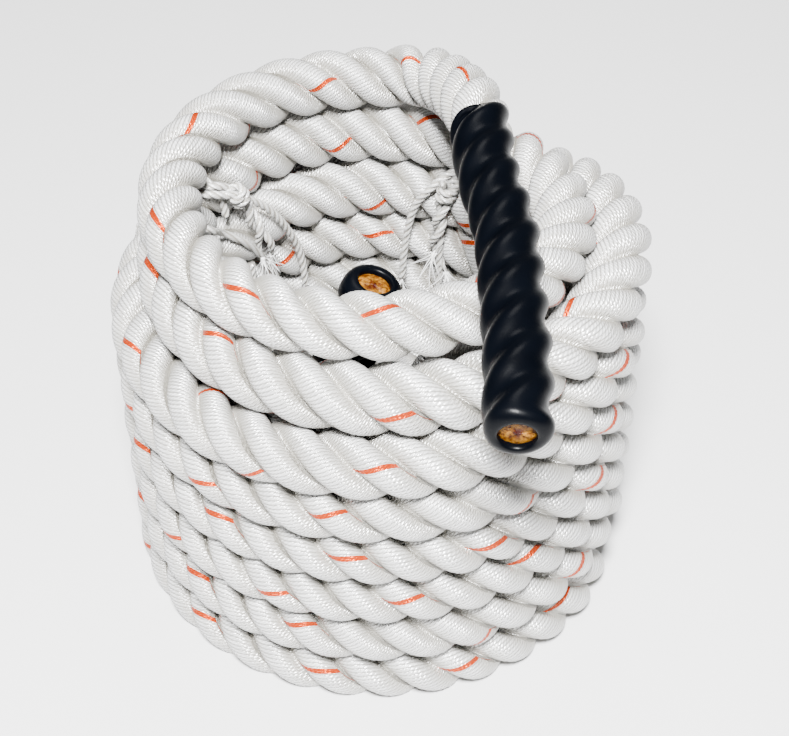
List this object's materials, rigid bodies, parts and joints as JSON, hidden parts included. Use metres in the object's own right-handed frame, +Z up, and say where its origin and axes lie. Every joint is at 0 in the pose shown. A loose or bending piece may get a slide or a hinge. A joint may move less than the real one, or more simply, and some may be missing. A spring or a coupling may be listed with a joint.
{
  "type": "battle rope",
  "caption": "Thick three-strand battle rope coiled and tied for storage, with black shrink-sleeve handles on both ends.",
  "frame": {"origin": "on the floor under the middle of the object's box", "axes": "+Z up along the coil's axis, -Y towards the side that the top handle points to, +X to the right seen from there"},
  "size_m": [0.3226, 0.385, 0.3273],
  "materials": {
    "rope": "satin",
    "sleeve": "satin",
    "fused": "rough",
    "twine": "satin"
  },
  "bodies": {
    "root": {"rope_coil": "rope", "handle_1_sleeve": "sleeve", "handle_1_strands": "rope", "handle_1_fused_end": "fused", "handle_2_sleeve": "sleeve", "handle_2_strands": "rope", "handle_2_fused_end": "fused", "tie_left": "twine", "tie_right": "twine"}
  },
  "joints": []
}
